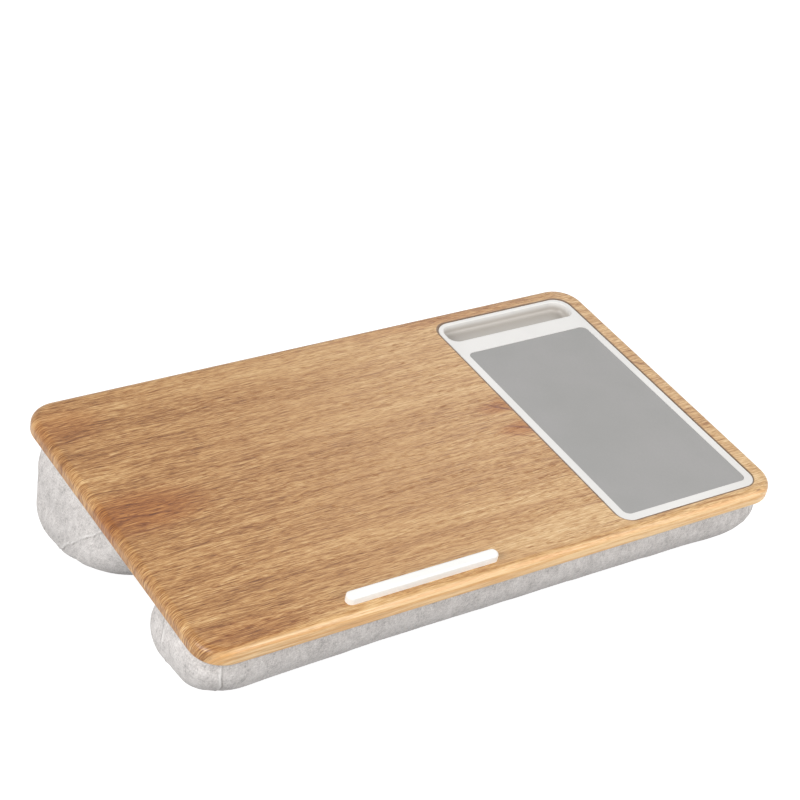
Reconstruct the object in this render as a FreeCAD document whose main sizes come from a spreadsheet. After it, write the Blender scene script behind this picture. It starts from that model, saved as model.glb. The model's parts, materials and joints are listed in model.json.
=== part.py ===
import FreeCAD, Part
import math
import os
import Sketcher
from FreeCAD import Placement, Rotation, Vector

# Lap desk on two fabric bolsters. The board frame has its origin at the centre of the board's face,
# X to the right, Y to the back and Z square to the face. Every piece is drawn in that frame, and then
# all of them get the same placement, which tilts the board and stands the bolsters on the floor.

# Driving sizes in mm, angles in degrees
SIZES = (
    ("tilt", 12.0, "slope of the board, higher at the back"),
    ("centre_height", 92.3, "height of the middle of the face above the floor"),
    ("board_width", 536.0, "board, left to right"),
    ("board_depth", 304.8, "board, front to back"),
    ("board_thickness", 13.8, "board with its film"),
    ("board_corner", 25.0, "plan radius of the board's corners"),
    ("board_top_round", 6.6, "round of the face's edge"),
    ("board_under_round", 2.4, "round of the lower edge"),
    ("film_thickness", 0.4, "woodgrain film and backing sheet"),
    ("tray_left", 110.2, "left edge of the tray from the board's middle"),
    ("tray_width", 141.2, "tray, left to right"),
    ("tray_front", 142.0, "front edge of the tray in front of the board's middle"),
    ("tray_length", 279.0, "tray, front to back"),
    ("tray_front_corner", 12.0, "plan radius of the tray's front corners"),
    ("tray_back_corner", 15.0, "plan radius of the tray's back corners"),
    ("tray_plate", 3.0, "thickness of the tray's plate"),
    ("tray_gap", 0.3, "gap round the tray in the film and the core"),
    ("tray_edge_round", 0.8, "round of the tray's outer top edge"),
    ("trough_side_rim", 4.8, "rim of the tray beside the phone trough"),
    ("trough_back_rim", 3.6, "rim of the tray behind the phone trough"),
    ("trough_width", 23.4, "mouth of the phone trough, front to back"),
    ("trough_depth", 9.4, "depth of the phone trough"),
    ("trough_front_corner", 8.0, "plan radius of the trough's front corners"),
    ("trough_draft", 6.0, "draft of the trough's walls"),
    ("trough_floor_round", 3.6, "round between the trough's walls and floor"),
    ("trough_mouth_round", 1.2, "round of the trough's mouth"),
    ("trough_wall", 2.0, "wall and floor of the trough"),
    ("trough_gap", 0.8, "gap between the trough's wall and the core"),
    ("pad_side_border", 7.6, "border of the tray left and right of the mouse surface"),
    ("pad_front_border", 7.4, "border of the tray in front of the mouse surface"),
    ("pad_length", 226.4, "mouse surface, front to back"),
    ("pad_corner", 5.5, "plan radius of the mouse surface's corners"),
    ("pad_thickness", 1.0, "mouse surface"),
    ("pad_recess", 1.3, "depth of the recess for the mouse surface"),
    ("pad_gap", 0.25, "gap round the mouse surface"),
    ("boss_diameter", 7.0, "screw boss under the tray"),
    ("boss_length", 5.5, "screw boss under the tray, below the plate"),
    ("boss_gap", 0.3, "gap round a boss in the core"),
    ("boss_side_border", 17.5, "axis of a boss from the tray's side edge"),
    ("boss_front_border", 17.0, "axis of the front bosses from the tray's front edge"),
    ("boss_back_border", 36.0, "axis of the back bosses from the tray's back edge"),
    ("ledge_length", 134.0, "stop ledge, left to right"),
    ("ledge_depth", 9.2, "stop ledge, front to back"),
    ("ledge_height", 7.0, "stop ledge above the face"),
    ("ledge_middle", 79.0, "middle of the ledge to the left of the board's middle"),
    ("ledge_front_border", 9.8, "front of the ledge from the board's front edge"),
    ("ledge_corner", 4.2, "plan radius of the ledge's ends"),
    ("ledge_round", 2.2, "round of the ledge's top edge"),
    ("ledge_wall", 1.5, "wall of the hollow ledge"),
    ("ledge_roof", 2.0, "top wall of the hollow ledge"),
    ("ledge_boss", 5.6, "screw boss inside the ledge"),
    ("ledge_screw_reach", 45.0, "ledge screw from the ledge's middle"),
    ("screw_shank", 3.0, "diameter of a screw's shank"),
    ("screw_head", 6.4, "diameter of a countersunk head"),
    ("screw_head_depth", 1.8, "depth of a countersunk head"),
    ("screw_tip", 1.6, "length of a screw's point"),
    ("tray_screw_length", 10.0, "screw into a tray boss"),
    ("ledge_screw_length", 18.0, "screw into the ledge"),
    ("panel_screw_length", 10.0, "screw through a base panel"),
    ("front_screw_row", 44.0, "row of panel screws from the front bolster's front edge"),
    ("back_screw_row_near", 56.0, "row of panel screws from the back bolster's valley edge"),
    ("back_screw_row_far", 58.0, "row of panel screws from the back bolster's back edge"),
    ("panel_screw_outer", 215.0, "outer panel screws from the board's middle"),
    ("panel_screw_inner", 72.0, "inner panel screws from the board's middle"),
    ("floor_cut", 0.5, "depth to which the bolsters are cut flat where they stand"),
    ("cloth", 1.2, "fabric with its lining"),
    ("hem", 14.0, "fabric turned in over a base panel"),
    ("base_panel", 3.0, "hardboard base panel of a bolster"),
    ("swell_share", 0.8, "share of a bolster's depth over which its sides swell"),
    ("back_half_length", 260.0, "back bolster, half its length"),
    ("back_outer_border", 7.8, "back bolster from the board's back edge"),
    ("back_valley_edge", 48.0, "back bolster's front edge in front of the board's middle"),
    ("back_flank", 84.0, "run of the back bolster's flank from board to floor"),
    ("back_outer_corner", 25.0, "plan radius of the back bolster's back corners"),
    ("back_valley_corner", 46.0, "plan radius of the back bolster's front corners"),
    ("back_end_draw", 19.0, "drawing-in of the back bolster's ends at the floor"),
    ("back_flank_draw", 68.0, "further drawing-in of its flank at the floor"),
    ("back_outer_draw", 16.0, "drawing-in of its back face at the floor"),
    ("back_round_share", 0.6, "share of its depth where the rounding under starts"),
    ("back_swell", 2.2, "swell of its sides"),
    ("front_half_length", 263.5, "front bolster, half its length"),
    ("front_outer_border", 8.0, "front bolster from the board's front edge"),
    ("front_valley_edge", 56.0, "front bolster's back edge in front of the board's middle"),
    ("front_flank", 3.0, "run of the front bolster's flank from board to floor"),
    ("front_outer_corner", 28.0, "plan radius of the front bolster's front corners"),
    ("front_valley_corner", 24.0, "plan radius of the front bolster's back corners"),
    ("front_end_draw", 18.0, "drawing-in of the front bolster's ends at the floor"),
    ("front_flank_draw", 18.0, "further drawing-in of its flank at the floor"),
    ("front_outer_draw", 28.0, "drawing-in of its front face at the floor"),
    ("front_round_share", 0.3, "share of its depth where the rounding under starts"),
    ("front_swell", 3.3, "swell of its sides"),
    ("seam_inset", 8.0, "gusset seam from the start of the end's round"),
    ("seam_turn_share", 0.3, "gusset seam on the outer corner, as a share of the corner's quarter turn"),
    ("staple_crown", 10.0, "crown of a staple"),
    ("staple_wire", 0.7, "width of a staple's wire"),
    ("staple_thickness", 0.5, "thickness of a staple's wire"),
    ("staple_leg", 3.6, "length of a staple's legs"),
    ("staple_pitch", 66.0, "staples along a hem"),
)

doc = FreeCAD.newDocument("lap_desk")
sheet = doc.addObject("Spreadsheet::Sheet", "sizes")
for row, (alias, value, meaning) in enumerate(SIZES, start=1):
    sheet.set("A%d" % row, meaning)
    sheet.set("B%d" % row, str(value))
    sheet.setAlias("B%d" % row, alias)
doc.recompute()

# How near two heights count as one, shares of a bolster's depth or width, and counts of its outlines
NEAR = 1e-3
CORNER_SHARE = 0.45
SEAM_TOP_SHARE = 0.13
SEAM_MIDDLE_SHARE = 0.5
SEAM_LOW_SHARE = 0.75
UPPER_LEVELS = 3
LOWER_LEVELS = 7


def size(alias):
    """Value of a driving size."""
    return float(sheet.get(alias))


def value(expression):
    """Number that an expression of driving sizes gives."""
    return float(sheet.evalExpression(cells(expression)))


def cells(expression):
    """The expression with the sheet's name in front of each driving size."""
    words = expression.replace("(", " ( ").replace(")", " ) ").split()
    aliases = {alias for alias, number, meaning in SIZES}
    return " ".join("sizes." + word if word in aliases else word for word in words)


# Places that several pieces share, as expressions in the board frame
TRAY_RIGHT = "tray_left + tray_width"
TRAY_BACK = "tray_length - tray_front"
TROUGH_LEFT = "tray_left + trough_side_rim"
TROUGH_RIGHT = "tray_left + tray_width - trough_side_rim"
TROUGH_BACK = "tray_length - tray_front - trough_back_rim"
TROUGH_FRONT = "tray_length - tray_front - trough_back_rim - trough_width"
TROUGH_BACK_CORNER = "tray_back_corner - trough_back_rim"
PAD_LEFT = "tray_left + pad_side_border"
PAD_RIGHT = "tray_left + tray_width - pad_side_border"
PAD_FRONT = "pad_front_border - tray_front"
PAD_BACK = "pad_front_border - tray_front + pad_length"
LEDGE_FRONT = "ledge_front_border - board_depth / 2"
BOSSES = [(x, y) for y in ("boss_front_border - tray_front",
                           "( tray_length - boss_back_border + boss_front_border ) / 2 - tray_front",
                           "tray_length - tray_front - boss_back_border")
          for x in ("tray_left + boss_side_border", "tray_left + tray_width - boss_side_border")]
LEDGE_BOSSES = [("0 - ledge_middle - ledge_screw_reach", LEDGE_FRONT + " + ledge_depth / 2"),
                ("ledge_screw_reach - ledge_middle", LEDGE_FRONT + " + ledge_depth / 2")]


def grown(outline, gap):
    """An outline's six expressions, moved outwards by a gap all round."""
    left, right, front, back, front_corner, back_corner = outline
    return (left + " - ( " + gap + " )", right + " + " + gap, front + " - ( " + gap + " )",
            back + " + " + gap, front_corner + " + " + gap, back_corner + " + " + gap)


BOARD_OUTLINE = ("0 - board_width / 2", "board_width / 2", "0 - board_depth / 2", "board_depth / 2",
                 "board_corner", "board_corner")
TRAY_OUTLINE = ("tray_left", TRAY_RIGHT, "0 - tray_front", TRAY_BACK, "tray_front_corner", "tray_back_corner")
TROUGH_OUTLINE = (TROUGH_LEFT, TROUGH_RIGHT, TROUGH_FRONT, TROUGH_BACK, "trough_front_corner",
                  TROUGH_BACK_CORNER)
PAD_OUTLINE = (PAD_LEFT, PAD_RIGHT, PAD_FRONT, PAD_BACK, "pad_corner", "pad_corner")
LEDGE_OUTLINE = ("0 - ledge_middle - ledge_length / 2", "ledge_length / 2 - ledge_middle", LEDGE_FRONT,
                 LEDGE_FRONT + " + ledge_depth", "ledge_corner", "ledge_corner")


def new_body(name):
    """Empty body with its label."""
    body = doc.addObject("PartDesign::Body", name)
    body.Label = name
    return body


def new_sketch(body, name, height):
    """Sketch on the body's XY plane, raised to the given height."""
    sketch = body.newObject("Sketcher::SketchObject", name)
    plane = next(item for item in body.Origin.OriginFeatures if item.Role == "XY_Plane")
    sketch.AttachmentSupport = [(plane, "")]
    sketch.MapMode = "FlatFace"
    sketch.setExpression("AttachmentOffset.Base.z", cells(height))
    return sketch


def hold(sketch, constraint, name, expression):
    """Add a sizing constraint and bind it to the sheet."""
    index = sketch.addConstraint(constraint)
    sketch.renameConstraint(index, name)
    sketch.setExpression("Constraints." + name, cells(expression))


def draw_outline(sketch, outline):
    """Rectangle with rounded corners: four lines and four tangent arcs, held by six sizes."""
    left, right, front, back, near, far = (value(side) for side in outline)
    up = Vector(0, 0, 1)
    quarter = math.pi / 2

    def line(x_start, y_start, x_end, y_end):
        return Part.LineSegment(Vector(x_start, y_start, 0), Vector(x_end, y_end, 0))

    def corner(x_middle, y_middle, radius, turn):
        return Part.ArcOfCircle(Part.Circle(Vector(x_middle, y_middle, 0), up, radius), turn, turn + quarter)

    edges = sketch.addGeometry([
        line(left + near, front, right - near, front),
        corner(right - near, front + near, near, -quarter),
        line(right, front + near, right, back - far),
        corner(right - far, back - far, far, 0),
        line(right - far, back, left + far, back),
        corner(left + far, back - far, far, quarter),
        line(left, back - far, left, front + near),
        corner(left + near, front + near, near, 2 * quarter)], False)
    front_side, near_right, right_side, far_right, back_side, far_left, left_side, near_left = edges
    start, end, origin = 1, 2, -1
    ring = [Sketcher.Constraint("Tangent", edge, end, following, start)
            for edge, following in zip(edges, edges[1:] + edges[:1])]
    sketch.addConstraint(ring + [
        Sketcher.Constraint("Horizontal", front_side), Sketcher.Constraint("Horizontal", back_side),
        Sketcher.Constraint("Vertical", left_side), Sketcher.Constraint("Vertical", right_side),
        Sketcher.Constraint("Equal", near_right, near_left),
        Sketcher.Constraint("Equal", far_right, far_left)])
    sides = (("DistanceX", left_side, left, "left"), ("DistanceX", right_side, right, "right"),
             ("DistanceY", front_side, front, "front"), ("DistanceY", back_side, back, "back"))
    for (direction, side, distance, name), expression in zip(sides, outline):
        held = Sketcher.Constraint(direction, origin, start, side, start, distance)
        hold(sketch, held, name, expression)
    hold(sketch, Sketcher.Constraint("Radius", near_right, near), "near_corner", outline[4])
    hold(sketch, Sketcher.Constraint("Radius", far_right, far), "far_corner", outline[5])


def draw_circles(sketch, places, diameter):
    """Circles of one diameter, each held at its place."""
    start, centre, origin = 1, 3, -1
    up = Vector(0, 0, 1)
    first = None
    for number, (x_place, y_place) in enumerate(places):
        x, y = value(x_place), value(y_place)
        circle = sketch.addGeometry(Part.Circle(Vector(x, y, 0), up, value(diameter) / 2), False)
        for direction, distance, name, place in (("DistanceX", x, "x", x_place),
                                                 ("DistanceY", y, "y", y_place)):
            held = Sketcher.Constraint(direction, origin, start, circle, centre, distance)
            hold(sketch, held, name + str(number), place)
        if first is None:
            first = circle
            hold(sketch, Sketcher.Constraint("Diameter", circle, value(diameter)), "width", diameter)
        else:
            sketch.addConstraint(Sketcher.Constraint("Equal", first, circle))


def sweep_down(body, kind, sketch, length, draft=None):
    """Pad or pocket of a sketch, straight down from it; a draft draws its walls in."""
    feature = body.newObject("PartDesign::" + kind, sketch.Name + "_" + kind.lower())
    feature.Profile = sketch
    feature.Reversed = kind == "Pad"
    feature.setExpression("Length", cells(length))
    if draft:
        feature.setExpression("TaperAngle", cells("0 - " + draft))
    doc.recompute()
    return feature


def pad_up(body, sketch, length):
    """Pad of a sketch, straight up from it."""
    feature = body.newObject("PartDesign::Pad", sketch.Name + "_pad")
    feature.Profile = sketch
    feature.setExpression("Length", cells(length))
    doc.recompute()
    return feature


def pocket_up(body, sketch, length):
    """Pocket of a sketch, straight up from it."""
    feature = body.newObject("PartDesign::Pocket", sketch.Name + "_pocket")
    feature.Profile = sketch
    feature.Reversed = True
    feature.setExpression("Length", cells(length))
    doc.recompute()
    return feature


def round_level(body, base, name, height, radius, within=None):
    """Fillet of the edges that lie at one height, all of them or those inside an outline's box."""
    level = value(height)
    box = [value(side) for side in within[:4]] if within else None
    names = []
    for number, edge in enumerate(base.Shape.Edges, start=1):
        bounds = edge.BoundBox
        flat = abs(bounds.ZMin - level) < NEAR and abs(bounds.ZMax - level) < NEAR
        inside = box is None or (bounds.XMin > box[0] - NEAR and bounds.XMax < box[1] + NEAR
                                 and bounds.YMin > box[2] - NEAR and bounds.YMax < box[3] + NEAR)
        if flat and inside:
            names.append("Edge%d" % number)
    fillet = body.newObject("PartDesign::Fillet", name)
    fillet.Base = (base, names)
    fillet.setExpression("Radius", cells(radius))
    doc.recompute()
    return fillet


def cut_feature(name, base, tool):
    """One feature cut by another, under its own label."""
    cut = doc.addObject("Part::Cut", name)
    cut.Label = name
    cut.Base = base
    cut.Tool = tool
    return cut


def only_solids(shape):
    """The solids of a cut shape, without stray faces."""
    solids = shape.Solids
    return solids[0] if len(solids) == 1 else Part.makeCompound(solids)


def set_shape(name, shape):
    """Feature that holds a shape worked out from the sheet."""
    feature = doc.addObject("Part::Feature", name)
    feature.Label = name
    feature.Shape = shape
    return feature


# Board: a routed core, wrapped in film over face and edges, with a balancing sheet below
def board_blank(name, inset):
    """Board outline moved in by an inset, with both edges rounded about the film's own rounds."""
    body = new_body(name)
    sketch = new_sketch(body, name + "_outline", "0 - " + inset)
    draw_outline(sketch, grown(BOARD_OUTLINE, "0 - " + inset))
    slab = sweep_down(body, "Pad", sketch, "board_thickness - 2 * " + inset)
    top = round_level(body, slab, name + "_face_round", "0 - " + inset, "board_top_round - " + inset)
    round_level(body, top, name + "_under_round", inset + " - board_thickness",
                "board_under_round - " + inset)
    return body


def tray_opening(body, name, height, depth):
    """Opening for the tray's plate, with its gap."""
    sketch = new_sketch(body, name, height)
    draw_outline(sketch, grown(TRAY_OUTLINE, "tray_gap"))
    return sweep_down(body, "Pocket", sketch, depth)


def trough_opening(body, name, height, depth):
    """Opening for the outside of the phone trough, with its gap."""
    sketch = new_sketch(body, name, height)
    draw_outline(sketch, grown(TROUGH_OUTLINE, "trough_wall + trough_gap"))
    return sweep_down(body, "Pocket", sketch, depth)


wrapped_outside = board_blank("wrapped_outside", "0")
tray_opening(wrapped_outside, "film_opening", "0", "board_thickness - film_thickness")

core_blank = board_blank("core_blank", "film_thickness")

routed_core = board_blank("routed_core", "film_thickness")
tray_opening(routed_core, "core_rebate", "0", "tray_plate")
trough_opening(routed_core, "core_slot", "0", "board_thickness")
boss_holes = new_sketch(routed_core, "boss_holes", "0")
draw_circles(boss_holes, BOSSES, "boss_diameter + 2 * boss_gap")
sweep_down(routed_core, "Pocket", boss_holes, "tray_plate + boss_length + boss_gap")

plain_backing = new_body("plain_backing")
backing_outline = new_sketch(plain_backing, "backing_outline", "0 - board_thickness")
draw_outline(backing_outline, grown(BOARD_OUTLINE, "0 - board_under_round"))
pad_up(plain_backing, backing_outline, "film_thickness")

slotted_backing = new_body("slotted_backing")
slotted_outline = new_sketch(slotted_backing, "slotted_outline", "0 - board_thickness")
draw_outline(slotted_outline, grown(BOARD_OUTLINE, "0 - board_under_round"))
pad_up(slotted_backing, slotted_outline, "film_thickness")
trough_opening(slotted_backing, "backing_slot", "0", "board_thickness")


# Tray: a moulded plate with a recess for the mouse surface, a phone trough and six screw bosses
moulded_tray = new_body("moulded_tray")
plate_outline = new_sketch(moulded_tray, "plate_outline", "0")
draw_outline(plate_outline, TRAY_OUTLINE)
sweep_down(moulded_tray, "Pad", plate_outline, "tray_plate")
trough_shell = new_sketch(moulded_tray, "trough_shell", "0")
draw_outline(trough_shell, grown(TROUGH_OUTLINE, "trough_wall"))
shell_pad = sweep_down(moulded_tray, "Pad", trough_shell, "trough_depth + trough_wall", "trough_draft")
shell_round = round_level(moulded_tray, shell_pad, "shell_round", "0 - trough_depth - trough_wall",
                          "trough_floor_round")
edge_round = round_level(moulded_tray, shell_round, "edge_round", "0", "tray_edge_round")
trough_mouth = new_sketch(moulded_tray, "trough_mouth", "0")
draw_outline(trough_mouth, TROUGH_OUTLINE)
trough = sweep_down(moulded_tray, "Pocket", trough_mouth, "trough_depth", "trough_draft")
trough_floor = round_level(moulded_tray, trough, "trough_floor", "0 - trough_depth", "trough_floor_round",
                           TROUGH_OUTLINE)
round_level(moulded_tray, trough_floor, "mouth_round", "0", "trough_mouth_round", TROUGH_OUTLINE)
pad_seat = new_sketch(moulded_tray, "pad_seat", "0")
draw_outline(pad_seat, grown(PAD_OUTLINE, "pad_gap"))
sweep_down(moulded_tray, "Pocket", pad_seat, "pad_recess")
boss_circles = new_sketch(moulded_tray, "boss_circles", "0 - tray_plate")
draw_circles(boss_circles, BOSSES, "boss_diameter")
sweep_down(moulded_tray, "Pad", boss_circles, "boss_length")

mouse_pad = new_body("mouse_pad")
pad_outline = new_sketch(mouse_pad, "pad_outline", "0 - pad_recess")
draw_outline(pad_outline, PAD_OUTLINE)
pad_up(mouse_pad, pad_outline, "pad_thickness")


# Stop ledge: a bar with rounded ends and top, hollow below, with a boss near each end
moulded_ledge = new_body("moulded_ledge")
ledge_bar = new_sketch(moulded_ledge, "ledge_bar", "0")
draw_outline(ledge_bar, LEDGE_OUTLINE)
bar_pad = pad_up(moulded_ledge, ledge_bar, "ledge_height")
round_level(moulded_ledge, bar_pad, "ledge_top_round", "ledge_height", "ledge_round")
ledge_inside = new_sketch(moulded_ledge, "ledge_inside", "0")
draw_outline(ledge_inside, grown(LEDGE_OUTLINE, "0 - ledge_wall"))
pocket_up(moulded_ledge, ledge_inside, "ledge_height - ledge_roof")
ledge_boss_circles = new_sketch(moulded_ledge, "ledge_boss_circles", "0")
draw_circles(ledge_boss_circles, LEDGE_BOSSES, "ledge_boss")
pad_up(moulded_ledge, ledge_boss_circles, "ledge_height - ledge_roof / 2")


# Screws: a countersunk head whose flat face is down, a shank and a point
def screw(length):
    """One screw at the origin, pointing up, as a profile turned about its axis."""
    profile = Part.makePolygon([
        Vector(0, 0, 0), Vector(size("screw_head") / 2, 0, 0),
        Vector(size("screw_shank") / 2, 0, size("screw_head_depth")),
        Vector(size("screw_shank") / 2, 0, length - size("screw_tip")),
        Vector(0, 0, length), Vector(0, 0, 0)])
    return Part.Face(profile).revolve(Vector(0, 0, 0), Vector(0, 0, 1), 360)


def screw_group(name, places, head_height, length):
    """Separate screws of one kind at their places."""
    return set_shape(name, Part.makeCompound([
        screw(value(length)).translate(Vector(value(x_place), value(y_place), value(head_height)))
        for x_place, y_place in places]))


PANEL_SCREWS = [(x, y) for y in ("0 - board_depth / 2 + front_outer_border + front_screw_row",
                                 "back_screw_row_near - back_valley_edge",
                                 "board_depth / 2 - back_outer_border - back_screw_row_far")
                for x in ("0 - panel_screw_outer", "0 - panel_screw_inner", "panel_screw_inner",
                          "panel_screw_outer")]
tray_screws = screw_group("tray_screws", BOSSES, "0 - board_thickness", "tray_screw_length")
ledge_screws = screw_group("ledge_screws", LEDGE_BOSSES, "0 - board_thickness", "ledge_screw_length")
base_panel_screws = screw_group("base_panel_screws", PANEL_SCREWS, "0 - board_thickness - cloth - base_panel",
                                "panel_screw_length")


# Bolsters. Each is a pillow of level outlines: the first lies in the board's underside, the last in
# the floor, and those between lie in planes that turn from one to the other.
class Bolster:
    """Sizes of one bolster, read from the sheet; the valley side faces the other bolster."""

    def __init__(self, name, valley_sign):
        self.name = name
        self.valley_sign = valley_sign
        self.half_length = size(name + "_half_length")
        self.outer = value("board_depth / 2 - %s_outer_border" % name)
        self.valley = size(name + "_valley_edge")
        self.flank = size(name + "_flank")
        self.outer_corner = size(name + "_outer_corner")
        self.valley_corner = size(name + "_valley_corner")
        self.end_draw = size(name + "_end_draw")
        self.flank_draw = size(name + "_flank_draw")
        self.outer_draw = size(name + "_outer_draw")
        self.round_share = size(name + "_round_share")
        self.swell = size(name + "_swell")

    def edges(self, share, inset):
        """Half length, outer edge, valley edge and the two plan radii at a share of the depth.

        The sides swell as half a sine wave; below the round share they draw in as a quarter ellipse.
        The flank on the valley side also runs away from the valley in proportion to the share.
        """
        turn = max(0, (share - self.round_share) / (1 - self.round_share))
        draw = 1 - math.sqrt(max(0, 1 - turn * turn))
        swell = self.swell * math.sin(math.pi * min(1, share / size("swell_share")))
        half = self.half_length + swell - self.end_draw * draw - inset
        outer = self.outer + swell - self.outer_draw * draw - inset
        retreat = self.flank * share + self.flank_draw * draw - swell + inset
        valley = -self.valley_sign * self.valley + retreat
        most = (outer - valley) * CORNER_SHARE
        outer_corner = min(self.outer_corner - inset, most)
        valley_corner = min(self.valley_corner - inset, most)
        return half, outer, valley, outer_corner, valley_corner

    def level(self, share):
        """Height at the board's middle and slope of the plane at a share of the depth."""
        depth_at_middle = value("centre_height + floor_cut") / math.cos(math.radians(size("tilt")))
        height = -size("board_thickness") * (1 - share) - share * depth_at_middle
        slope = math.atan(share * math.tan(math.radians(size("tilt"))))
        return height, slope

    def outline(self, share, inset):
        """Closed wire of four lines and four arcs in its own plane."""
        half, outer, valley, outer_corner, valley_corner = self.edges(share, inset)
        height, slope = self.level(share)
        sign = self.valley_sign
        stretch = 1 / math.cos(slope)
        outer, valley = sign * outer * stretch, sign * valley * stretch
        diagonal = 1 - math.cos(math.pi / 4)
        parts = []
        corners = ((1, valley, sign, valley_corner), (1, outer, -sign, outer_corner),
                   (-1, outer, -sign, outer_corner), (-1, valley, sign, valley_corner))
        points = []
        for side, y_edge, inward, radius in corners:
            along = Vector(side * half, y_edge + inward * radius, 0)
            across = Vector(side * (half - radius), y_edge, 0)
            bend = Vector(side * (half - radius * diagonal), y_edge + inward * radius * diagonal, 0)
            turning_in = (y_edge == valley) == (side == 1)
            points.append((across, bend, along) if turning_in else (along, bend, across))
        for number, (first, bend, last) in enumerate(points):
            parts.append(Part.Arc(first, bend, last).toShape())
            parts.append(Part.LineSegment(last, points[(number + 1) % len(points)][0]).toShape())
        wire = Part.Wire(parts)
        wire.Placement = Placement(Vector(0, 0, height), Rotation(Vector(1, 0, 0), -math.degrees(slope)))
        return wire

    def pillow(self, inset, floor_share):
        """Solid through the level outlines, down to a share of the depth."""
        upper = [self.round_share * step / UPPER_LEVELS for step in range(UPPER_LEVELS)]
        turns = [math.pi / 2 * step / LOWER_LEVELS for step in range(LOWER_LEVELS)]
        lower = [self.round_share + (1 - self.round_share) * math.sin(turn) for turn in turns]
        wires = [self.outline(share, inset) for share in upper + lower + [floor_share]]
        return Part.makeLoft(wires, True, True)

    def cloth_floor(self):
        """Share of the depth at which the filling ends, above the fabric and the flat cut."""
        depth = size("centre_height") / math.cos(math.radians(size("tilt"))) - size("board_thickness")
        return 1 - value("cloth + floor_cut") / depth

    def above_floor(self):
        """Block over the floor, wider than the bolster."""
        wide = size("board_width") + size("board_depth")
        block = Part.makeBox(wide, wide, wide, Vector(-wide / 2, -wide / 2, 0))
        turned = Rotation(Vector(1, 0, 0), -size("tilt"))
        block.Placement = Placement(turned.multVec(Vector(0, 0, -size("centre_height"))), turned)
        return block

    def slab(self, top, bottom):
        """Block between two depths below the board, wider than the bolster."""
        wide = size("board_width") + size("board_depth")
        corner = Vector(-wide / 2, -wide / 2, -size("board_thickness") - bottom)
        return Part.makeBox(wide, wide, bottom - top, corner)

    def hem_hole(self):
        """Prism that leaves the hem as a ring on the base panel."""
        return Part.Face(self.outline(0, size("hem"))).extrude(Vector(0, 0, -size("cloth")))

    def staples(self):
        """Staples along the hem's four sides, crown flush with the hem's top."""
        half, outer, valley, outer_corner, valley_corner = self.edges(0, size("hem") / 2)
        crown = size("staple_crown")
        wire = size("staple_wire")
        thickness = size("staple_thickness")
        length = size("staple_leg")
        top = -size("board_thickness")
        bar = Part.makeBox(crown, wire, thickness, Vector(-crown / 2, -wire / 2, -thickness))
        leg = Part.makeBox(wire, wire, length, Vector(-crown / 2, -wire / 2, -thickness - length))
        other_leg = leg.copy().translate(Vector(crown - wire, 0, 0))
        staple = bar.fuse([leg, other_leg]).removeSplitter()
        reach = int((half - valley_corner) / size("staple_pitch"))
        places = [(step * size("staple_pitch"), self.valley_sign * edge, 0)
                  for edge in (outer, valley) for step in range(-reach, reach + 1)]
        places += [(side * half, self.valley_sign * (outer + valley) / 2, 90) for side in (-1, 1)]
        placed = []
        for x, y, turn in places:
            one = staple.copy()
            one.Placement = Placement(Vector(x, y, top), Rotation(Vector(0, 0, 1), turn))
            placed.append(one)
        return Part.makeCompound(placed)

    def seam_block(self, side):
        """Half space beyond the seam of one end gusset.

        The seam plane passes through two points of the flat end beside the valley corner, one high
        and one low, and through a point of the outer corner near the outer face.
        """
        points = []
        for share in (SEAM_TOP_SHARE, SEAM_LOW_SHARE):
            half, outer, valley, outer_corner, valley_corner = self.edges(share, 0)
            height, slope = self.level(share)
            y = self.valley_sign * (valley + valley_corner + size("seam_inset"))
            points.append(Vector(side * half, y, height - y * math.tan(slope)))
        half, outer, valley, outer_corner, valley_corner = self.edges(SEAM_MIDDLE_SHARE, 0)
        height, slope = self.level(SEAM_MIDDLE_SHARE)
        turn = size("seam_turn_share") * math.pi / 2
        x = side * (half - outer_corner + outer_corner * math.sin(turn))
        y = self.valley_sign * (outer - outer_corner + outer_corner * math.cos(turn))
        points.append(Vector(x, y, height - y * math.tan(slope)))
        normal = (points[1] - points[0]).cross(points[2] - points[0])
        if normal.x * side < 0:
            normal = normal * -1
        wide = size("board_width")
        block = Part.makeBox(wide, wide, wide, Vector(-wide / 2, -wide / 2, 0))
        block.Placement = Placement(points[0], Rotation(Vector(0, 0, 1), normal))
        return block

    def build(self, screws):
        """Cover in three pieces, base panel, filling and staples, by node name."""
        hem_bottom = size("cloth")
        panel_bottom = hem_bottom + size("base_panel")
        floor = size("centre_height") * 2
        outside = self.pillow(0, 1).common(self.above_floor())
        inside = self.pillow(size("cloth"), self.cloth_floor())
        staples = self.staples()
        room = inside.common(self.slab(hem_bottom, floor))
        cover = outside.cut([room, self.hem_hole(), staples])
        left, right = self.seam_block(-1), self.seam_block(1)
        panel = inside.common(self.slab(hem_bottom, panel_bottom)).cut([staples, screws])
        filling = inside.common(self.slab(panel_bottom, floor))
        return {
            self.name + "_base_panel": panel,
            self.name + "_bead_fill": filling,
            self.name + "_wrap_cover": cover.cut([left, right]),
            self.name + "_left_gusset": cover.common(left),
            self.name + "_right_gusset": cover.common(right),
            self.name + "_staples": staples,
        }


soft_parts = {}
for bolster in (Bolster("front", -1), Bolster("back", 1)):
    for name, shape in bolster.build(base_panel_screws.Shape).items():
        soft_parts[name] = set_shape(name, only_solids(shape))

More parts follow.
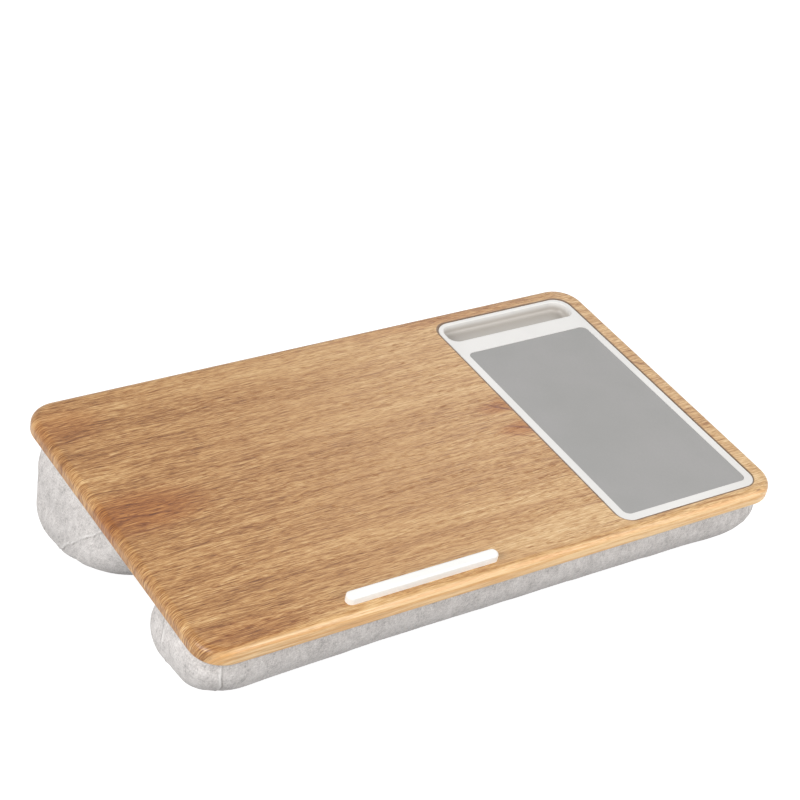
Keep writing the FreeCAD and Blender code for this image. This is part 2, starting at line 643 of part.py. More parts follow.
# Film, core, backing, tray and ledge are cut by what passes through them
film_filling = doc.addObject("Part::MultiFuse", "film_filling")
film_filling.Shapes = [core_blank, plain_backing, ledge_screws]
all_screws = doc.addObject("Part::Compound", "all_screws")
all_screws.Links = [tray_screws, ledge_screws, base_panel_screws]
woodgrain_film = cut_feature("woodgrain_film", wrapped_outside, film_filling)
board_core = cut_feature("board_core", routed_core, all_screws)
backing_sheet = cut_feature("backing_sheet", slotted_backing, all_screws)
mouse_pad_tray = cut_feature("mouse_pad_tray", moulded_tray, tray_screws)
device_ledge = cut_feature("device_ledge", moulded_ledge, ledge_screws)
doc.recompute()

# Stand: the tilt lifts the board's back, the centre height stands the flat undersides on the floor,
# and the shift centres the footprint
tilted = Placement(Vector(0, 0, size("centre_height")), Rotation(Vector(1, 0, 0), size("tilt")))
footprint = [woodgrain_film.Shape, soft_parts["back_wrap_cover"].Shape, soft_parts["front_wrap_cover"].Shape]
reach = []
for shape in footprint:
    stood = shape.copy()
    stood.Placement = tilted.multiply(stood.Placement)
    bounds = stood.optimalBoundingBox(False)
    reach += [bounds.YMin, bounds.YMax]
stand = Placement(Vector(0, -(min(reach) + max(reach)) / 2, size("centre_height")), tilted.Rotation)
bodies = [wrapped_outside, core_blank, plain_backing, slotted_backing, routed_core, moulded_tray, mouse_pad,
          moulded_ledge]
for item in bodies + [tray_screws, ledge_screws, base_panel_screws] + list(soft_parts.values()):
    item.Placement = stand
doc.recompute()

SUB_PARTS = [board_core, woodgrain_film, backing_sheet, mouse_pad_tray, mouse_pad, tray_screws, device_ledge,
             ledge_screws, base_panel_screws] + list(soft_parts.values())

for item in doc.Objects:
    if "Invalid" in item.State or "Error" in item.State:
        raise RuntimeError("%s failed: %s" % (item.Label, item.State))
os.makedirs("parts", exist_ok=True)
for item in SUB_PARTS:
    if item.Shape.isNull() or not item.Shape.isValid():
        raise RuntimeError("%s has no valid shape" % item.Label)
for item in SUB_PARTS:
    item.Shape.exportStep("parts/%s.step" % item.Label)
    box = item.Shape.optimalBoundingBox(False)
    print("%-20s solids %d volume %.0f  x %.1f %.1f  y %.1f %.1f  z %.2f %.2f" % (
        item.Label, len(item.Shape.Solids), item.Shape.Volume, box.XMin, box.XMax, box.YMin, box.YMax,
        box.ZMin, box.ZMax))
print("stand shift %.4f" % stand.Base.y)
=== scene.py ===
import json
import math

import bmesh
import bpy
import numpy as np
from mathutils import Matrix, Vector


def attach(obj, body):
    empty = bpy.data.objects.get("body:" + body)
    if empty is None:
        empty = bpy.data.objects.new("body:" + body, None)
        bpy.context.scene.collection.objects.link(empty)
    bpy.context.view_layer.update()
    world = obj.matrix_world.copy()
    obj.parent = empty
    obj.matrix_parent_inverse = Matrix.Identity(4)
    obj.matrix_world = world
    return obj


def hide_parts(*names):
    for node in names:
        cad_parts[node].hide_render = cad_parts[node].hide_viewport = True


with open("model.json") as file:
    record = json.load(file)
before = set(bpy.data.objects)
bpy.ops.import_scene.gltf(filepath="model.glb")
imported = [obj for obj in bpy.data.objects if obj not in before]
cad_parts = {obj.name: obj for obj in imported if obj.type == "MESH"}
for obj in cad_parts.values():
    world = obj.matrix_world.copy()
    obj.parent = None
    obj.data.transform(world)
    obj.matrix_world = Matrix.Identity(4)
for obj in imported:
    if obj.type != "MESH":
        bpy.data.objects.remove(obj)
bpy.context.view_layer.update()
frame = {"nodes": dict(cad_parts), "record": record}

MILLIMETRE = 0.001

# Where the board lies: the middle of its face and its slope, as the record gives them
FACE_MOUNT = next(mount for mount in frame["record"]["mounts"] if mount["name"] == "board_face")
FACE_MIDDLE = Vector(FACE_MOUNT["pos_m"])
TILT = math.atan2(-FACE_MOUNT["axis"][1], FACE_MOUNT["axis"][2])
BOARD_WIDTH = 536.0
BOARD_DEPTH = 304.8
BOARD_THICKNESS = 13.8
BOARD_CORNER = 25.0
TRAY_MIDDLE = (180.8, -2.5)
TRAY_HALF = (70.6, 139.5)
TRAY_CORNER = 13.5

# Dark growth lines of the oak: level and slope across the board, first and last place along it, width, depth
GROWTH_LINES = (
    (-15.0, 0.0, -274.0, -226.0, 1.7, 0.85), (6.0, -0.13, -274.0, -226.0, 1.6, 0.8),
    (-20.0, 0.05, -272.0, -210.0, 1.3, 0.45), (18.0, -0.08, -270.0, -215.0, 1.4, 0.45),
    (96.0, 0.12, -274.0, -222.0, 1.5, 0.6), (84.0, -0.1, -268.0, -226.0, 1.4, 0.5),
    (66.0, 0.12, -266.0, -214.0, 1.6, 0.5), (40.0, -0.05, -266.0, -205.0, 1.4, 0.4),
    (-123.0, -0.09, -270.0, -228.0, 1.6, 0.65), (-138.0, -0.04, -266.0, -205.0, 1.6, 0.6),
    (-151.0, -0.06, -204.0, -150.0, 1.8, 0.6), (-94.0, 0.0, -270.0, -150.0, 1.6, 0.45),
    (-128.0, 0.02, -150.0, 60.0, 1.5, 0.4), (-143.0, -0.078, 8.0, 165.0, 2.0, 0.6),
    (-136.0, -0.02, 40.0, 240.0, 1.5, 0.45), (-145.0, -0.058, 165.0, 246.0, 2.0, 0.6),
    (25.0, -0.79, 92.0, 112.0, 3.2, 0.85), (-5.0, -0.47, 92.0, 114.0, 2.6, 0.8),
    (-17.0, -0.6, 92.0, 108.0, 2.0, 0.6), (-60.0, 0.1, 84.0, 112.0, 1.5, 0.4),
    (-112.0, -0.04, 84.0, 130.0, 2.2, 0.55), (36.0, -0.78, 248.0, 264.0, 2.4, 0.8),
    (90.0, 0.05, 252.0, 270.0, 2.0, 0.5), (-40.0, 0.05, 252.0, 270.0, 1.8, 0.4),
)

# Warm and pale patches of the oak: middle and reach along and across the board, strength, and 1 where the
# rim follows the kinks of the grain
WARM_PATCHES = (
    (-240, 6, 74, 30, 0.8, 1), (-225, -138, 55, 18, 0.35, 0), (102, 20, 30, 11, 0.8, 1),
    (104, -11, 30, 12, 0.9, 1), (-250, 118, 46, 26, 0.5, 0), (120, 146, 130, 12, 0.4, 0),
)
PALE_PATCHES = ((-255, -118, 50, 5, 0.14, 1), (-250, 50, 40, 14, 0.08, 1))

# Dark flecks of the oak: middle along and across, half length, half width
FLECKS = ((-253, 8, 2.6, 1.1), (-249, 5, 1.6, 0.8), (245, -150, 3.2, 1.3), (249, -155, 3.6, 1.5))


def board_to_row(points):
    """Points of the board frame in mm, as an array whose last axis is x, y, z, in the row frame in metres."""
    cosine, sine = math.cos(TILT), math.sin(TILT)
    turn = np.array([[1, 0, 0], [0, cosine, -sine], [0, sine, cosine]])
    return points * MILLIMETRE @ turn.T + np.array(FACE_MIDDLE)


def row_to_board(points):
    """The reverse of board_to_row."""
    cosine, sine = math.cos(TILT), math.sin(TILT)
    turn = np.array([[1, 0, 0], [0, cosine, -sine], [0, sine, cosine]])
    return (points - np.array(FACE_MIDDLE)) @ turn / MILLIMETRE


# Shader maths
class Wire:
    """One output of a node tree. Arithmetic on it adds Math nodes, so it is meant for single values."""

    def __init__(self, tree, socket=None):
        self.tree = tree
        self.socket = socket

    def node(self, kind, settings=None, sockets=None, output=0):
        """Add a node: first its settings, then the values or links of its sockets."""
        made = self.tree.nodes.new("ShaderNode" + kind)
        for name, setting in (settings or {}).items():
            if name == "stops":
                elements = made.color_ramp.elements
                while len(elements) < len(setting):
                    elements.new(1.0)
                for element, (position, colour) in zip(elements, setting):
                    element.position = position
                    element.color = colour
            else:
                setattr(made, name, setting)
        for name, given in (sockets or {}).items():
            if isinstance(given, Wire):
                self.tree.links.new(given.socket, made.inputs[name])
            else:
                made.inputs[name].default_value = given
        return Wire(self.tree, made.outputs[output])

    def maths(self, operation, *operands, clamp=False):
        return self.node("Math", {"operation": operation, "use_clamp": clamp}, dict(enumerate(operands)))

    def __add__(self, other):
        return self.maths("ADD", self, other)

    def __radd__(self, other):
        return self.maths("ADD", other, self)

    def __sub__(self, other):
        return self.maths("SUBTRACT", self, other)

    def __rsub__(self, other):
        return self.maths("SUBTRACT", other, self)

    def __mul__(self, other):
        return self.maths("MULTIPLY", self, other)

    def __rmul__(self, other):
        return self.maths("MULTIPLY", other, self)

    def __truediv__(self, other):
        return self.maths("DIVIDE", self, other)

    def __rtruediv__(self, other):
        return self.maths("DIVIDE", other, self)

    def __neg__(self):
        return self.maths("MULTIPLY", self, -1.0)

    def __abs__(self):
        return self.maths("ABSOLUTE", self)


def split(vector):
    """The three coordinates of a vector wire."""
    return tuple(vector.node("SeparateXYZ", {}, {0: vector}, output) for output in range(3))


def joined(x, y, z):
    """Vector wire of three values, of which the first is a wire."""
    return x.node("CombineXYZ", {}, {0: x, 1: y, 2: z})


def noise(x, y, seed, detail=2.0, roughness=0.5):
    """Smooth noise from 0 to 1 over a plane, about one blot per unit of x and y."""
    return x.node("TexNoise", {}, {"Vector": joined(x, y, seed), "Scale": 1.0, "Detail": detail,
                                   "Roughness": roughness})


def fade(wire, low, high):
    """Rises smoothly from 0 at low to 1 at high; falls where low is above high."""
    start, end, bottom, top = (low, high, 0.0, 1.0) if low < high else (high, low, 1.0, 0.0)
    return wire.node("MapRange", {"interpolation_type": "SMOOTHSTEP"}, {
        0: wire, 1: start, 2: end, 3: bottom, 4: top})


def bell(wire, middle, reach):
    """1 at the middle, falling to 0 at the reach on both sides."""
    return fade(abs(wire - middle), reach, 0.0)


def mix(factor, colour, other, blend="MIX"):
    """Colour that goes to the other one as the factor goes from 0 to 1."""
    maker = next(item for item in (factor, colour, other) if isinstance(item, Wire))
    return maker.node("Mix", {"data_type": "RGBA", "blend_type": blend}, {0: factor, 6: colour, 7: other}, 2)


def srgb(red, green, blue):
    """Linear colour of three display values from 0 to 255."""
    linear = [(level / 255 / 12.92) if level <= 10.3 else ((level / 255 + 0.055) / 1.055) ** 2.4
              for level in (red, green, blue)]
    return (*linear, 1.0)


def new_material(name, **constants):
    """Principled material with constants on the shader's own sockets, and a wire to make its nodes."""
    material = bpy.data.materials.new(name)
    material.use_nodes = True
    shader = material.node_tree.nodes["Principled BSDF"]
    for socket, constant in constants.items():
        shader.inputs[socket.replace("_", " ").title().replace("Ior", "IOR")].default_value = constant
    return material, shader, Wire(material.node_tree)


def feed(shader, socket, wire):
    """Link a wire to a socket of the shader."""
    wire.tree.links.new(wire.socket, shader.inputs[socket])


def relief(height, distance=MILLIMETRE, strength=1.0):
    """Bumped normal from a height in mm."""
    return height.node("Bump", {}, {"Strength": strength, "Distance": distance, "Height": height})


def board_axes(wire):
    """x, y and z of the board frame in mm, from Object coordinates."""
    turn = Matrix.Rotation(-TILT, 3, "X")
    place = -(turn @ FACE_MIDDLE) / MILLIMETRE
    coordinates = wire.node("TexCoord", output=3)
    return split(wire.node("Mapping", {}, {
        "Vector": coordinates, "Location": place, "Rotation": (-TILT, 0, 0), "Scale": (1 / MILLIMETRE,) * 3}))


# Oak film. The figure is drawn over the flattened face and runs on over the rounded edges.
def flattened(x, y, z):
    """Place on the unrolled film: the way down is added to the way out, square to the board's outline."""
    depth = z.maths("MAXIMUM", -z, 0.0)
    over_x = abs(x) - (BOARD_WIDTH / 2 - BOARD_CORNER)
    over_y = abs(y) - (BOARD_DEPTH / 2 - BOARD_CORNER)
    over_x, over_y = over_x.maths("MAXIMUM", over_x, 0.0), over_y.maths("MAXIMUM", over_y, 0.0)
    out = over_x * over_x + over_y * over_y + 0.0001
    way = depth / out.maths("SQRT", out)
    return x + x.maths("SIGN", x) * way * over_x, y + y.maths("SIGN", y) * way * over_y


def off_tray(x, y):
    """Distance in mm outside the tray's rounded outline."""
    aside = abs(x - TRAY_MIDDLE[0]) - (TRAY_HALF[0] - TRAY_CORNER)
    ahead = abs(y - TRAY_MIDDLE[1]) - (TRAY_HALF[1] - TRAY_CORNER)
    aside, ahead = aside.maths("MAXIMUM", aside, 0.0), ahead.maths("MAXIMUM", ahead, 0.0)
    return (aside * aside).maths("SQRT", aside * aside + ahead * ahead) - TRAY_CORNER


def patch(x, y, middle_x, middle_y, reach_x, reach_y):
    """Soft oval: 1 at its middle, 0 at its rim."""
    aside, ahead = (x - middle_x) / reach_x, (y - middle_y) / reach_y
    return fade(aside * aside + ahead * ahead, 1.0, 0.0)


def patches_of(table, along, across, kink):
    """Sum of the soft ovals of a table."""
    total = 0.0
    for middle_x, middle_y, reach_x, reach_y, strength, bend in table:
        total = total + patch(along, across + kink * bend, middle_x, middle_y, reach_x, reach_y) * strength
    return total


def oak_film():
    """Oak grain of several widths, with warm and pale patches, pores, growth lines and flecks, and painted
    light: paler to the right, a highlight on the front edge, shade round the tray.
    """
    material, shader, wire = new_material("oak_film")
    x, y, z = board_axes(wire)
    along, across = flattened(x, y, z)

    # Growth rings, cut at a flat angle: slow waves and small kinks bend them
    wave = (noise(along / 190, across / 62, 3.1, 2.0) - 0.5) * 30
    kink = (noise(along / 34, across / 13, 8.4, 2.0) - 0.5) * 3.2
    bent = across + wave + kink
    broad = noise(bent / 15, along / 420, 1.7, 2.0, 0.5)
    narrow = noise(bent / 4.6, along / 210, 5.2, 2.0, 0.6)
    fine = noise(bent / 1.6, along / 46, 2.6, 2.0, 0.6)
    fibre = noise((across + kink) / 0.78, along / 17, 7.7, 2.0, 0.6)
    hair = noise((across + kink) / 0.52, along / 8, 12.3, 2.0, 0.6)
    pore_belt = noise(bent / 6.0, along / 260, 6.1, 1.0)
    pores = noise((across + kink) / 0.62, along / 8.5, 4.9, 1.0, 0.5)
    pore = fade(pores + (pore_belt - 0.5) * 0.5, 0.59, 0.68)

    # Painted light: the face grows paler towards the right, where light falls on it more brightly.
    lit_to_right = fade(along, -BOARD_WIDTH / 2, BOARD_WIDTH / 2) * 0.20 - 0.09
    to_front = fade(across, -92, -138) * fade(along, -236, -140) * 0.11
    pale_and_lit = lit_to_right + to_front + patches_of(PALE_PATCHES, along, across, kink)
    calm = 1.0 - bell(along, -30, 210) * 0.28
    tone = (0.5 + (broad - 0.5) * 0.40 + (narrow - 0.5) * 0.26 + (fine - 0.5) * 0.32
            + ((fibre - 0.5) * 1.0 + (hair - 0.5) * 0.95) * calm + pale_and_lit)
    colour = tone.node("ValToRGB", {"stops": (
        (0.14, srgb(120, 75, 36)), (0.34, srgb(162, 113, 62)), (0.50, srgb(190, 143, 90)),
        (0.66, srgb(210, 169, 115)), (0.88, srgb(232, 199, 150)))}, {0: tone})

    # Darker and warmer heartwood patches, and the dark growth lines between them
    warm = patches_of(WARM_PATCHES, along, across, kink)
    colour = mix(warm.maths("MINIMUM", warm, 1.0), colour, srgb(222, 184, 132), "MULTIPLY")
    ways = (noise(along / 22, across / 40, 9.9, 2.0) - 0.5) * 4.0
    lines = None
    for level, slope, first, last, width, depth in GROWTH_LINES:
        off = across + ways - level - (along - first) * slope
        reach = bell(along, (first + last) / 2, (last - first) / 2 + 12)
        line = bell(off, 0.0, width) * reach * depth
        lines = line if lines is None else lines.maths("MAXIMUM", lines, line)
    colour = mix(lines, colour, srgb(170, 124, 76), "MULTIPLY")
    colour = mix(pore * 0.62 * calm, colour, srgb(178, 134, 88), "MULTIPLY")
    flecks = None
    for fleck_x, fleck_y, length, width in FLECKS:
        fleck = patch(along + kink, across + kink * 0.3, fleck_x, fleck_y, length, width)
        flecks = fleck if flecks is None else flecks.maths("MAXIMUM", flecks, fleck)
    colour = mix(flecks * 0.8, colour, srgb(112, 62, 30))

    # Pale streaks along the front edge, partly grain and partly a painted highlight on its rounding, orange
    # streaks there, and the dark joint round the tray with painted shade in its gap
    front = fade(across, -BOARD_DEPTH / 2 + 5, -BOARD_DEPTH / 2 - 1)
    streak = fade(noise(across / 2.2, along / 90, 11.3, 3.0, 0.6), 0.36, 0.64)
    # Painted highlight, mixed with grain: near-white streaks on the front's rounded edge.
    colour = mix(front * streak * 0.75, colour, srgb(253, 218, 166))
    colour = mix(front * (1 - streak) * 0.6, colour, srgb(236, 178, 112))
    # Painted shade in the narrow gap round the tray, together with the film's darker cut edge there.
    gap_shade_and_cut_edge = fade(off_tray(x, y), 1.9, 1.0)
    colour = mix(gap_shade_and_cut_edge * 0.85, colour, srgb(92, 64, 42))
    feed(shader, "Base Color", colour)
    feed(shader, "Roughness", 0.36 + (fine - 0.5) * 0.12 + pore * 0.14)
    feed(shader, "Normal", relief(fibre * 0.018 + fine * 0.02 - pore * 0.045))
    return material


def moulded_white(name, seed, light, dark):
    """Satin moulded plastic: fine texture, slow tone changes, and painted shade down in the trough."""
    material, shader, wire = new_material(name, ior=1.5)
    x, y, z = board_axes(wire)
    grit = noise(x * 3.1, y * 3.1 + z * 2.3, seed, 3.0, 0.6)
    blush = noise(x / 48, y / 48, seed + 2.0, 2.0)
    colour = mix(fade(blush, 0.3, 0.7), dark, light)
    colour = mix(fade(grit, 0.35, 0.75) * 0.25, colour, srgb(222, 220, 217))
    # Painted shade: the colour darkens with depth below the top face, down in the trough.
    colour = mix(fade(z, -1.0, -7.0) * 0.85, colour, srgb(196, 190, 183), "MULTIPLY")
    feed(shader, "Base Color", colour)
    feed(shader, "Roughness", 0.34 + (grit - 0.5) * 0.16 + (blush - 0.5) * 0.08)
    feed(shader, "Normal", relief(grit * 0.02))
    return material


def mouse_surface():
    """Smooth matt grey sheet with a faint cross-laid texture."""
    material, shader, wire = new_material("mouse_surface_grey", ior=1.45)
    x, y, z = board_axes(wire)
    laid = noise(x * 2.6, y * 0.45, 4.4, 2.0, 0.6) * 0.5 + noise(x * 0.45, y * 2.6, 9.2, 2.0, 0.6) * 0.5
    cloud = noise(x / 60, y / 60, 2.2, 2.0)
    colour = mix(fade(cloud, 0.25, 0.75), srgb(161, 160, 158), srgb(168, 166, 165))
    colour = mix(fade(laid, 0.3, 0.7) * 0.35, colour, srgb(153, 152, 150))
    feed(shader, "Base Color", colour)
    feed(shader, "Roughness", 0.58 + (laid - 0.5) * 0.2)
    feed(shader, "Normal", relief(laid * 0.03))
    return material


def pressed_fibre(name, light, dark, scale):
    """Pressed wood fibre: short fibres in all directions and darker specks."""
    material, shader, wire = new_material(name)
    x, y, z = board_axes(wire)
    level = y + z * 0.7
    fibres = noise(x * 1.9 / scale, level * 0.5 / scale, 1.3, 4.0, 0.7)
    crossed = noise(x * 0.5 / scale, level * 1.9 / scale, 6.8, 4.0, 0.7)
    speck = fade(noise(x / scale, level / scale, 3.3, 2.0), 0.62, 0.70)
    web = fibres * 0.5 + crossed * 0.5
    colour = mix(fade(web, 0.3, 0.7), dark, light)
    colour = mix(speck * 0.4, colour, dark)
    feed(shader, "Base Color", colour)
    feed(shader, "Roughness", 0.72 + (web - 0.5) * 0.3)
    feed(shader, "Normal", relief(web * 0.08))
    return material


def plated_steel():
    """Zinc-plated steel: bright, with fine turned marks and duller patches."""
    material, shader, wire = new_material("zinc_steel", metallic=1.0)
    x, y, z = board_axes(wire)
    marks = noise(x * 5.0, y * 5.0 + z * 1.1, 2.8, 3.0, 0.7)
    dull = noise(x / 2.5, y / 2.5, 7.1, 2.0)
    colour = mix(fade(dull, 0.3, 0.7), srgb(176, 178, 180), srgb(206, 207, 208))
    feed(shader, "Base Color", colour)
    feed(shader, "Roughness", 0.3 + (dull - 0.5) * 0.2 + (marks - 0.5) * 0.1)
    feed(shader, "Normal", relief(marks * 0.012))
    return material


YARN_PITCH = 1.7


def heather_weave():
    """Coarse heather cloth: two sets of yarns with slubs, each yarn with its own tone, slow mottling, and a
    painted highlight on the seams' lips with painted shade in their grooves.
    """
    material, shader, wire = new_material("heather_weave", sheen_weight=0.15, sheen_roughness=0.5)
    u, v = (way / MILLIMETRE for way in split(wire.node("UVMap", {"uv_map": "weave"}))[:2])
    warp = noise(u / 0.8, v / 5.0, 1.1, 2.0, 0.6)
    weft = noise(u / 5.0, v / 0.8, 4.7, 2.0, 0.6)
    knot = noise(u / 1.4, v / 1.9, 7.9, 3.0, 0.7)
    blotch = noise(u / 4.2, v / 8.0, 6.3, 3.0, 0.65)
    cloud = noise(u / 15, v / 30, 2.9, 2.0, 0.6)
    tone = (0.5 + (warp - 0.5) * 0.42 + (weft - 0.5) * 0.36 + (knot - 0.5) * 0.85 + (blotch - 0.5) * 0.62
            + (cloud - 0.5) * 0.34)
    colour = tone.node("ValToRGB", {"stops": (
        (0.20, srgb(158, 154, 152)), (0.42, srgb(198, 193, 190)), (0.56, srgb(213, 208, 205)),
        (0.80, srgb(236, 232, 229)))}, {0: tone})
    # Painted highlight on each seam's lip and painted shade in its groove, from the seam attribute.
    seam = wire.node("Attribute", {"attribute_name": "seam"}, output=2)
    colour = mix(seam.maths("MAXIMUM", seam, 0.0) * 0.7, colour, srgb(246, 243, 240))
    colour = mix(seam.maths("MAXIMUM", -seam, 0.0) * 0.6, colour, srgb(150, 145, 143), "MULTIPLY")
    feed(shader, "Base Color", colour)
    feed(shader, "Roughness", 0.86 + (warp - 0.5) * 0.1)
    wave_u, wave_v = u * (2 * math.pi / YARN_PITCH), v * (2 * math.pi / YARN_PITCH)
    crossing = wave_u.maths("SINE", wave_u) * wave_v.maths("SINE", wave_v)
    feed(shader, "Normal", relief(crossing * 0.05 + warp * 0.22 + weft * 0.22 + knot * 0.12))
    return material


# Cushions. Level outlines turn from the board's underside to the floor, as the solids' do. Lengths are in mm,
# shares are of the depth from the board to the floor.
CUSHIONS = {
    "front": {"sign": -1, "half": 263.5, "outer": BOARD_DEPTH / 2 - 8.0, "valley": 56.0, "flank": 3.0,
              "outer_corner": 28.0, "valley_corner": 24.0, "end_draw": 18.0, "flank_draw": 18.0,
              "outer_draw": 28.0, "round_share": 0.3, "swell": 3.3, "upper": 5, "lower": 12, "ends": 20,
              "sag_middle": -205.0, "sag_reach": 62.0, "sag": 2.2, "seam_inset": 8.0},
    "back": {"sign": 1, "half": 260.0, "outer": BOARD_DEPTH / 2 - 7.8, "valley": 48.0, "flank": 84.0,
             "outer_corner": 25.0, "valley_corner": 46.0, "end_draw": 19.0, "flank_draw": 68.0,
             "outer_draw": 16.0, "round_share": 0.6, "swell": 2.2, "upper": 13, "lower": 13, "ends": 40,
             "sag_middle": 40.0, "sag_reach": 120.0, "sag": 1.2, "seam_inset": 12.5},
}
LONG_STEPS = 110

# Seams: turn round the outer corner, the two shares that give a seam's line, how far from the ends they are
# sewn, cuts beside them, and the heights of their relief
SEAM_TURN = 0.26 * math.pi / 2
SEAM_SHARES = (0.13, 0.75)
SEAM_REACH = 34.0
SEAM_CUTS = (-5.0, -2.4, -1.2, 0.0, 1.2, 2.4)
NEAR_SEAM = 9.0
FAR = 1000.0
RIDGE_HEIGHT = 0.4
GATHER_HEIGHT = 0.14
LIP_HEIGHT = 0.3
GROOVE_DEPTH = 0.5

# Top edge under the board, and the inset of the shell that the relief grows from
TOP_CLEARANCE = 0.1
TOP_ROLL = 2.4
COVER_INSET = 0.8

# Cloth: pressure, frames, width of the gathered strip, rounds of averaging and height of the wrinkles
CLOTH_PRESSURE = 4.0
CLOTH_FRAMES = 20
GATHERED = 5.0
AVERAGE_ROUNDS = 60
WRINKLE_CAP = 0.8


def outline_sizes(cushion, share, inset):
    """Half length, outer edge, valley edge and both corner radii at shares of the depth, as arrays.

    The sides swell as half a sine wave over four fifths of the depth. Below the round share they draw
    in as a quarter ellipse, and the flank on the valley side also runs outwards with the share.
    """
    turn = np.maximum(0, (share - cushion["round_share"]) / (1 - cushion["round_share"]))
    draw = 1 - np.sqrt(np.maximum(0, 1 - turn * turn))
    swell = cushion["swell"] * np.sin(np.pi * np.minimum(1, share / 0.8))
    half = cushion["half"] + swell - cushion["end_draw"] * draw - inset
    outer = cushion["outer"] + swell - cushion["outer_draw"] * draw - inset
    retreat = cushion["flank"] * share + cushion["flank_draw"] * draw - swell + inset
    valley = -cushion["sign"] * cushion["valley"] + retreat
    most = (outer - valley) * 0.45
    return (half, outer, valley, np.minimum(cushion["outer_corner"] - inset, most),
            np.minimum(cushion["valley_corner"] - inset, most))


def level_height(share, y):
    """Height in the board frame of the plane at a share of the depth, which turns from board to floor."""
    depth_at_middle = (FACE_MIDDLE.z / MILLIMETRE + 0.5) / math.cos(TILT)
    return -BOARD_THICKNESS * (1 - share) - share * depth_at_middle - y * share * math.tan(TILT)


def rounded_side(width, first, last, fraction):
    """Points along one side of a rounded outline, from the middle of one corner to that of the next.

    The first corner's arc, the straight and the last corner's arc follow each other at even steps of
    length. Returned are the run along the side, the step out from it (0 or less) and the length.
    """
    eighth = math.pi / 4
    straight = width - first - last
    whole = (first + last) * eighth + straight
    reach = fraction * whole
    opening = eighth - np.minimum(reach / first, eighth)
    closing = np.maximum(0, (reach - whole) / last + eighth)
    on_line = first + np.clip(reach - first * eighth, 0, straight)
    run = np.where(opening > 0, first - first * np.sin(opening), np.where(
        closing > 0, width - last + last * np.sin(closing), on_line))
    out = np.where(opening > 0, first * (np.cos(opening) - 1), np.where(
        closing > 0, last * (np.cos(closing) - 1), 0))
    return run, out, reach - whole / 2


def coons(near, far, left, right):
    """Patch between four curves: the blends of both facing pairs, less the blend of the corners."""
    u = np.linspace(0, 1, near.shape[0])[None, :, None]
    v = np.linspace(0, 1, left.shape[0])[:, None, None]
    corners = ((1 - u) * (1 - v) * near[0] + u * (1 - v) * near[-1] + (1 - u) * v * far[0] + u * v * far[-1])
    return ((1 - v) * near[None] + v * far[None] + (1 - u) * left[:, None] + u * right[:, None]) - corners


def cushion_patches(cushion, inset):
    """Four side patches, a top and a bottom, each an array of points and one of weave coordinates.

    A side patch is a function of the way round the outline and the share of the depth. Its weave
    coordinates are the lengths along both.
    """
    rolls = np.array([0.0, 0.25, 0.6, 1.0])
    depth = FACE_MIDDLE.z / MILLIMETRE / math.cos(TILT) - BOARD_THICKNESS
    rolled = rolls * TOP_ROLL / depth
    upper = np.linspace(rolled[-1], cushion["round_share"], cushion["upper"] + 1)[1:-1]
    turns = np.linspace(0, math.pi / 2, cushion["lower"])
    lower = cushion["round_share"] + (1 - cushion["round_share"]) * np.sin(turns)
    share = np.concatenate([rolled, upper, lower])[:, None]
    roll = np.minimum(share * depth / TOP_ROLL, 1)
    insets = inset + TOP_ROLL * (1 - np.sqrt(1 - (1 - roll) ** 2))
    half, outer, valley, outer_corner, valley_corner = outline_sizes(cushion, share, insets)
    across = np.linspace(0, 1, cushion["ends"] + 1)[None, :]
    lengthways = np.linspace(0, 1, LONG_STEPS + 1)[None, :]
    sides = []
    run, out, reach = rounded_side(2 * half, outer_corner, outer_corner, lengthways)
    sides.append((run - half, outer + out, reach))
    run, out, reach = rounded_side(outer - valley, outer_corner, valley_corner, across)
    sides.append((half + out, outer - run, reach))
    run, out, reach = rounded_side(2 * half, valley_corner, valley_corner, lengthways)
    sides.append((half - run, valley - out, reach))
    run, out, reach = rounded_side(outer - valley, valley_corner, outer_corner, across)
    sides.append((-half - out, valley + run, reach))
    patches = []
    for x, q, reach in sides:
        sagging = np.exp(-((x - cushion["sag_middle"]) / cushion["sag_reach"]) ** 2)
        sagging = sagging * np.sin(np.pi * np.clip((share - 0.25) / 1.1, 0, 1)) * (q > outer - outer_corner)
        y = cushion["sign"] * (q + cushion["sag"] * sagging)
        points = np.stack([x, y, level_height(share, y) - TOP_CLEARANCE], axis=-1)
        drop = np.linalg.norm(np.diff(points, axis=0), axis=-1)
        down = np.concatenate([np.zeros((1, x.shape[1])), np.cumsum(drop, axis=0)])
        patches.append((points, np.stack([reach, down], axis=-1)))
    for level in (0, -1):
        outer_side, right_side, valley_side, left_side = (points[level] for points, chart in patches[:4])
        cap = coons(outer_side, valley_side[::-1], left_side[::-1], right_side)
        patches.append((cap, cap[..., :2]))
    return patches


